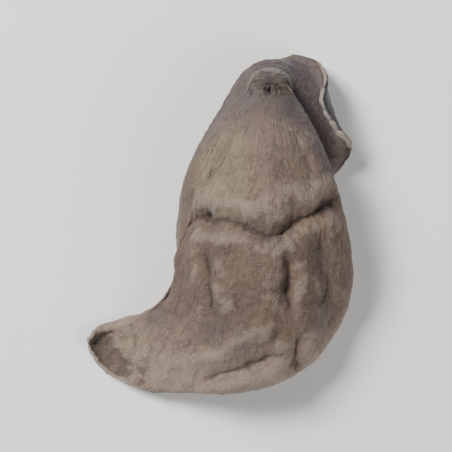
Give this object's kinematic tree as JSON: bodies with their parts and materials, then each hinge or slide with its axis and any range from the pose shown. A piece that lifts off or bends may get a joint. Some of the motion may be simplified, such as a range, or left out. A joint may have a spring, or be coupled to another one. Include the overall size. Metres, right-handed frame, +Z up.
{
  "type": "dried wood ear mushroom",
  "caption": "Dried wood ear fungus: one leathery sheet drawn into a hollow hood, felted tan back up, dark inner face, rolled margins and a flared corner.",
  "frame": {"origin": "on the surface that the ear rests on, under the middle of its outline", "axes": "+Z up, +Y towards the neck and the cut stub, -Y towards the open mouth"},
  "size_m": [0.032, 0.041, 0.0155],
  "materials": {
    "felted_back": "dry matt felt, with a satin slate-black inner face"
  },
  "bodies": {
    "root": {"ear": "felted_back"}
  },
  "joints": []
}
